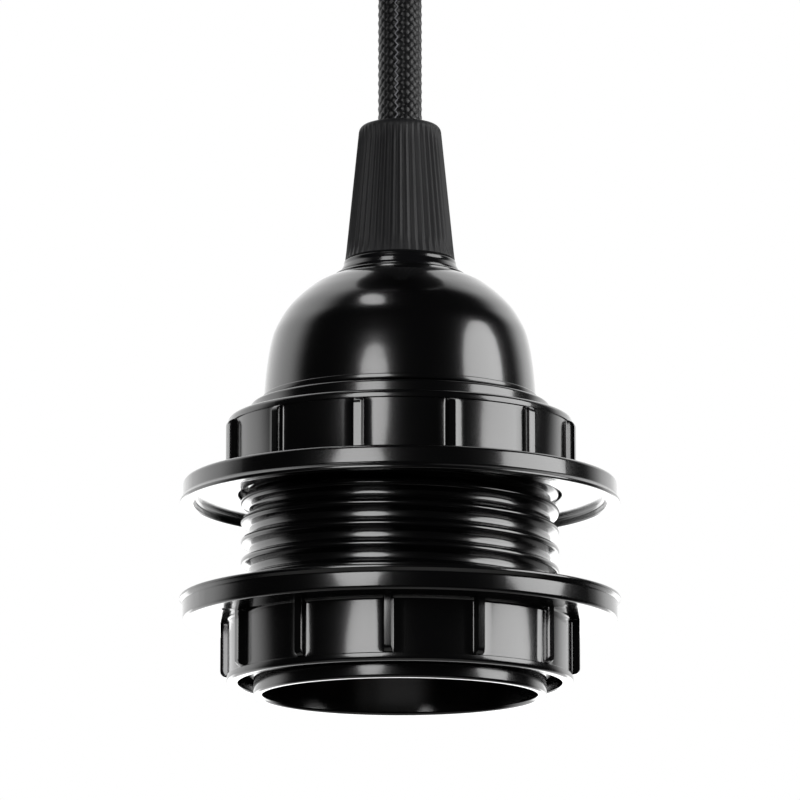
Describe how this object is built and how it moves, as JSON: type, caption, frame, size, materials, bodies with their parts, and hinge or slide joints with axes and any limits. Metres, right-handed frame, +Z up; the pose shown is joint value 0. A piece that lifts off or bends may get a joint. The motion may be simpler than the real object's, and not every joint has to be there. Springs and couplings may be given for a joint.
{
  "type": "pendant lamp holder",
  "caption": "Black pendant lamp holder with a fully threaded skirt, two screw-on shade rings, a domed cap and a ribbed cord grip, hung from a ceiling fitting on a braided cord.",
  "frame": {"origin": "centre of the ceiling fitting's two screw holes, on the ceiling face", "axes": "+Z up into the ceiling along the lamp holder's axis, -Y towards the front"},
  "size_m": [0.0588, 0.0588, 0.1246],
  "materials": {
    "black_phenolic": "polished",
    "black_nylon": "satin",
    "black_braid": "woven textile",
    "black_enamel": "satin",
    "zinc_plate": "plated",
    "brass": "bright",
    "brown_pvc": "smooth",
    "blue_pvc": "smooth"
  },
  "bodies": {
    "holder": {"ceiling_cup": "black_enamel", "ceiling_bracket": "zinc_plate", "cup_screws": "zinc_plate", "cord_stop": "black_nylon", "cord_stop_screw": "zinc_plate", "cord": "black_braid", "cord_tail": "black_braid", "grip_bush": "black_nylon", "lock_nut": "zinc_plate", "cap": "black_phenolic", "contact_base": "black_phenolic", "screw_shell": "brass", "leaf_rivet": "brass", "shell_rivets": "brass", "live_terminal": "brass", "neutral_terminal": "brass", "terminal_screws": "zinc_plate", "live_core": "brown_pvc", "neutral_core": "blue_pvc"},
    "grip_nut": {"grip_nut": "black_nylon"},
    "skirt": {"skirt": "black_phenolic"},
    "upper_ring": {"upper_shade_ring": "black_phenolic"},
    "lower_ring": {"lower_shade_ring": "black_phenolic"},
    "centre_contact": {"centre_contact": "brass"}
  },
  "joints": [
    {"name": "grip_nut_unscrew", "type": "slide", "parent": "holder", "child": "grip_nut", "axis": [0, 0, 1], "range_m": [0, 0.009]},
    {"name": "skirt_unscrew", "type": "slide", "parent": "holder", "child": "skirt", "axis": [0, 0, -1], "range_m": [0, 0.032]},
    {"name": "upper_ring_screw", "type": "slide", "parent": "skirt", "child": "upper_ring", "axis": [0, 0, -1], "range_m": [0, 0.0058]},
    {"name": "lower_ring_screw", "type": "slide", "parent": "skirt", "child": "lower_ring", "axis": [0, 0, 1], "range_m": [-0.0145, 0.0058]},
    {"name": "centre_contact_flex", "type": "hinge", "parent": "holder", "child": "centre_contact", "pos_m": [0.005, 0, -0.10015], "axis": [0, 1, 0], "range_deg": [0, 8], "stiffness_Nm_per_rad": 0.24}
  ]
}
